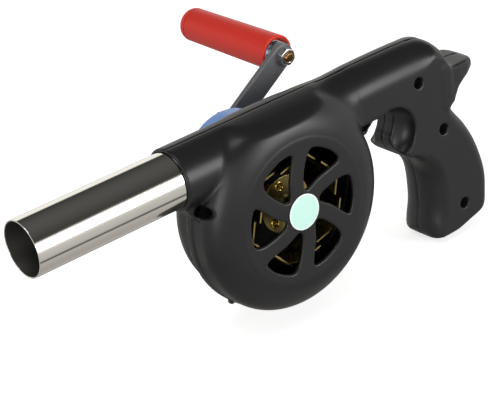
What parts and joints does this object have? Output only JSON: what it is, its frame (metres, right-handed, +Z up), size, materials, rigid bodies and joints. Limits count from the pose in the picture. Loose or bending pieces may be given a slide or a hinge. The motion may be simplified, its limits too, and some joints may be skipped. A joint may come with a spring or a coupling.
{
  "type": "hand crank fan",
  "caption": "Pistol-grip hand blower: a geared side crank spins an impeller that draws air through a vented drum and out of a steel nozzle.",
  "frame": {"origin": "centre of the nozzle's mouth", "axes": "+X back along the nozzle towards the thumb rest, +Y along the shafts towards the crank, +Z up, away from the grip"},
  "size_m": [0.2704, 0.1358, 0.1205],
  "materials": {
    "housing_black": "satin moulded ABS",
    "tube_steel": "polished stainless",
    "badge": "plain printed disc with a white rim",
    "cover_blue": "semi-gloss moulded",
    "zinc_plate": "zinc-plated sheet",
    "bronze": "sintered bronze",
    "shaft_steel": "ground steel",
    "spring_steel": "blued spring steel",
    "screw_black": "black oxide",
    "gear_white": "acetal",
    "pinion_brass": "cut brass",
    "arm_grey": "dark grey satin coat",
    "bolt_zinc": "yellow zinc plate",
    "nut_chrome": "bright plated",
    "collar_steel": "turned steel",
    "handle_red": "semi-gloss moulded",
    "impeller_gold": "gold anodised sheet",
    "hub_alloy": "turned",
    "rivet_brass": "eyelet brass"
  },
  "bodies": {
    "housing": {"left_shell": "housing_black", "right_shell": "housing_black", "nozzle_tube": "tube_steel", "hub_badge": "badge", "gear_cover": "cover_blue", "bearing_plate": "screw_black", "shaft_bushes": "bronze", "crank_bushes": "bronze", "idler_pin": "shaft_steel", "idler_clip": "spring_steel", "case_screws": "screw_black", "plate_screws": "screw_black", "cover_screws": "screw_black"},
    "crank": {"crank_shaft": "shaft_steel", "drive_gear": "gear_white", "gear_clip": "spring_steel", "crank_arm": "arm_grey", "arm_washer": "zinc_plate", "arm_screw": "screw_black", "handle_bolt": "bolt_zinc", "handle_collar": "collar_steel", "handle_nut": "nut_chrome"},
    "handle": {"handle_grip": "handle_red", "handle_cap": "handle_red"},
    "idler": {"idler_gear": "gear_white"},
    "impeller": {"impeller_wheel": "impeller_gold", "impeller_hub": "hub_alloy", "impeller_rivets": "rivet_brass", "impeller_clip": "spring_steel", "impeller_shaft": "shaft_steel", "impeller_pinion": "pinion_brass"}
  },
  "joints": [
    {"name": "crank_spin", "type": "hinge", "parent": "housing", "child": "crank", "pos_m": [0.13302, 0.03, -0.01798], "axis": [0, 1, 0], "continuous": true},
    {"name": "handle_spin", "type": "hinge", "parent": "crank", "child": "handle", "pos_m": [0.18422, 0.08, 0.01591], "axis": [0, 1, 0], "continuous": true},
    {"name": "idler_spin", "type": "hinge", "parent": "housing", "child": "idler", "pos_m": [0.12088, 0.012, -0.03868], "axis": [0, 1, 0], "continuous": true},
    {"name": "impeller_spin", "type": "hinge", "parent": "housing", "child": "impeller", "pos_m": [0.1395, -0.008, -0.034], "axis": [0, 1, 0], "continuous": true}
  ],
  "couplings": [
    {"joint": "idler_spin", "follows": "crank_spin", "ratio": -4},
    {"joint": "impeller_spin", "follows": "crank_spin", "ratio": 12}
  ]
}
